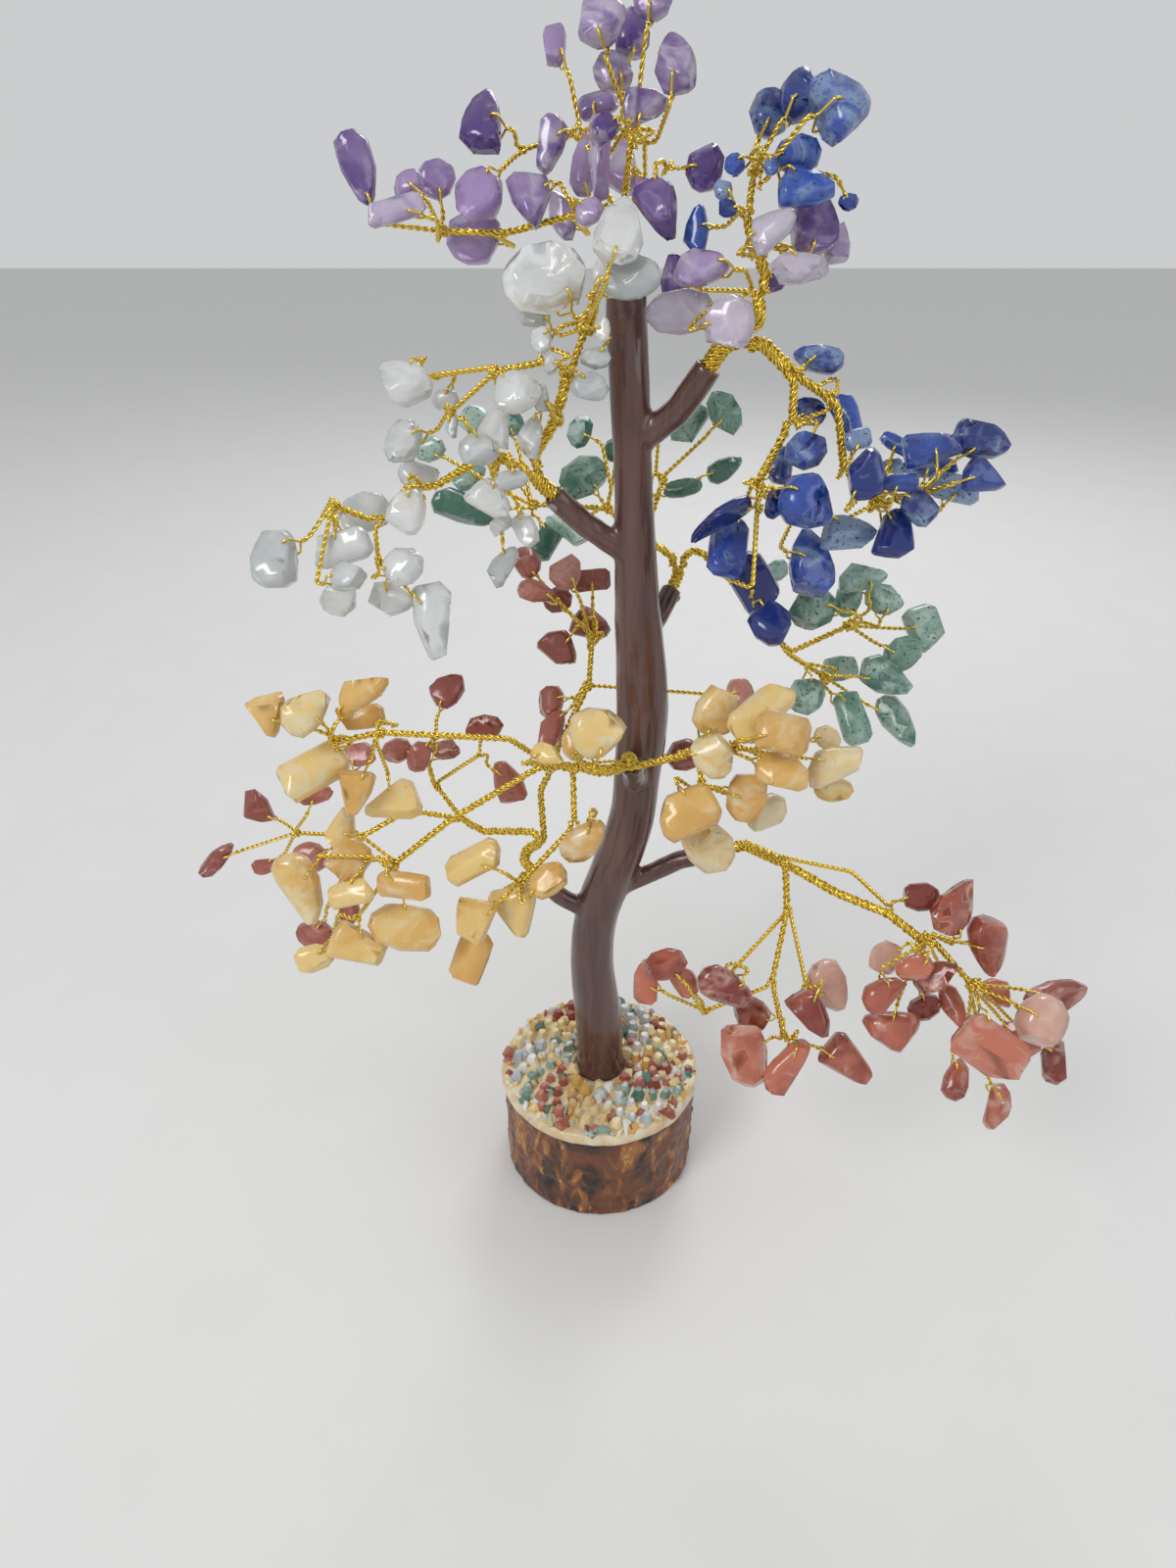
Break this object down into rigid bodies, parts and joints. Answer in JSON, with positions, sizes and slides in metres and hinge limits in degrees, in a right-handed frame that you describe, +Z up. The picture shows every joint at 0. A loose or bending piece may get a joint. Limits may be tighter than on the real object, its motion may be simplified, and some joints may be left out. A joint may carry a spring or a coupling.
{
  "type": "gemstone tree ornament",
  "caption": "Wire tree of drilled tumbled gemstones on bendable branches, with a coated trunk on a bark-edged wood slice topped with crushed stone in resin.",
  "frame": {"origin": "middle of the underside of the wood slice, which the ornament stands on", "axes": "+Z up along the trunk, -Y towards the viewer of the picture, +X to that viewer's right"},
  "size_m": [0.2279, 0.1051, 0.2969],
  "materials": {
    "wood": "sawn end grain, varnished",
    "bark": "rough bark under thick gloss varnish",
    "resin": "clear casting resin full of crushed stone",
    "cream_chips": "crushed, wet with resin",
    "red_chips": "crushed, wet with resin",
    "green_chips": "crushed, wet with resin",
    "white_chips": "crushed, wet with resin",
    "trunk_coat": "glossy dark red-brown coat with faint vertical streaks",
    "gold_wire": "bright gold-coloured craft wire",
    "amethyst": "polished, translucent, lilac to deep purple",
    "lapis": "polished, royal blue with pale patches and dark specks",
    "quartz": "polished, clear to milky",
    "aventurine": "polished, blue-green with pale mottling",
    "citrine": "polished, butter yellow to ivory and orange",
    "jasper": "polished, brick red",
    "carnelian": "polished, orange-red, translucent"
  },
  "bodies": {
    "stand": {"wood_slice": "wood", "bark": "bark", "resin_bed": "resin", "cream_gravel": "cream_chips", "red_gravel": "red_chips", "green_gravel": "green_chips", "white_gravel": "white_chips", "trunk_coat": "trunk_coat", "trunk_wire_core": "gold_wire", "amethyst_wire_root": "gold_wire", "lapis_wire_root": "gold_wire", "quartz_wire_root": "gold_wire", "aventurine_wire_root": "gold_wire", "citrine_wire_root": "gold_wire", "jasper_wire_root": "gold_wire", "carnelian_wire_root": "gold_wire"},
    "amethyst_branch": {"amethyst_bundle": "gold_wire", "amethyst_boughs": "gold_wire", "amethyst_twigs": "gold_wire", "amethyst_loops": "gold_wire", "amethyst_stones": "amethyst"},
    "lapis_branch": {"lapis_bundle": "gold_wire", "lapis_boughs": "gold_wire", "lapis_twigs": "gold_wire", "lapis_loops": "gold_wire", "lapis_stones": "lapis", "lapis_branch_amethysts": "amethyst"},
    "quartz_branch": {"quartz_bundle": "gold_wire", "quartz_boughs": "gold_wire", "quartz_twigs": "gold_wire", "quartz_loops": "gold_wire", "quartz_stones": "quartz"},
    "aventurine_branch": {"aventurine_bundle": "gold_wire", "aventurine_boughs": "gold_wire", "aventurine_twigs": "gold_wire", "aventurine_loops": "gold_wire", "aventurine_stones": "aventurine"},
    "citrine_branch": {"citrine_bundle": "gold_wire", "citrine_boughs": "gold_wire", "citrine_twigs": "gold_wire", "citrine_loops": "gold_wire", "citrine_stones": "citrine"},
    "jasper_branch": {"jasper_bundle": "gold_wire", "jasper_boughs": "gold_wire", "jasper_twigs": "gold_wire", "jasper_loops": "gold_wire", "jasper_stones": "jasper"},
    "carnelian_branch": {"carnelian_bundle": "gold_wire", "carnelian_boughs": "gold_wire", "carnelian_twigs": "gold_wire", "carnelian_loops": "gold_wire", "carnelian_stones": "carnelian"}
  },
  "joints": [
    {"name": "amethyst_branch_bend", "type": "hinge", "parent": "stand", "child": "amethyst_branch", "pos_m": [0.00445, 0.00596, 0.24896], "axis": [-1, 0, -0.009], "range_deg": [-10.5, 12]},
    {"name": "lapis_branch_bend", "type": "hinge", "parent": "stand", "child": "lapis_branch", "pos_m": [0.02134, -0.00334, 0.22958], "axis": [0.8148, -0.197, -0.5452], "range_deg": [-9, 12]},
    {"name": "quartz_branch_bend", "type": "hinge", "parent": "stand", "child": "quartz_branch", "pos_m": [-0.0113, -0.00525, 0.20382], "axis": [-0.6629, -0.2434, -0.708], "range_deg": [-12, 12]},
    {"name": "aventurine_branch_bend", "type": "hinge", "parent": "stand", "child": "aventurine_branch", "pos_m": [0.01666, 0.01002, 0.17715], "axis": [0.7942, -0.6076, 0], "range_deg": [-12, 12]},
    {"name": "citrine_branch_bend", "type": "hinge", "parent": "stand", "child": "citrine_branch", "pos_m": [0.00675, -0.0124, 0.14133], "axis": [-0.9756, 0.2195, 0], "range_deg": [-12, 12]},
    {"name": "jasper_branch_bend", "type": "hinge", "parent": "stand", "child": "jasper_branch", "pos_m": [-0.01765, 0.00095, 0.10095], "axis": [0.2714, 0.9625, 0], "range_deg": [-7.5, 9]},
    {"name": "carnelian_branch_bend", "type": "hinge", "parent": "stand", "child": "carnelian_branch", "pos_m": [0.03286, -0.00286, 0.111], "axis": [-0.1122, -0.9937, 0], "range_deg": [-12, 12]}
  ]
}
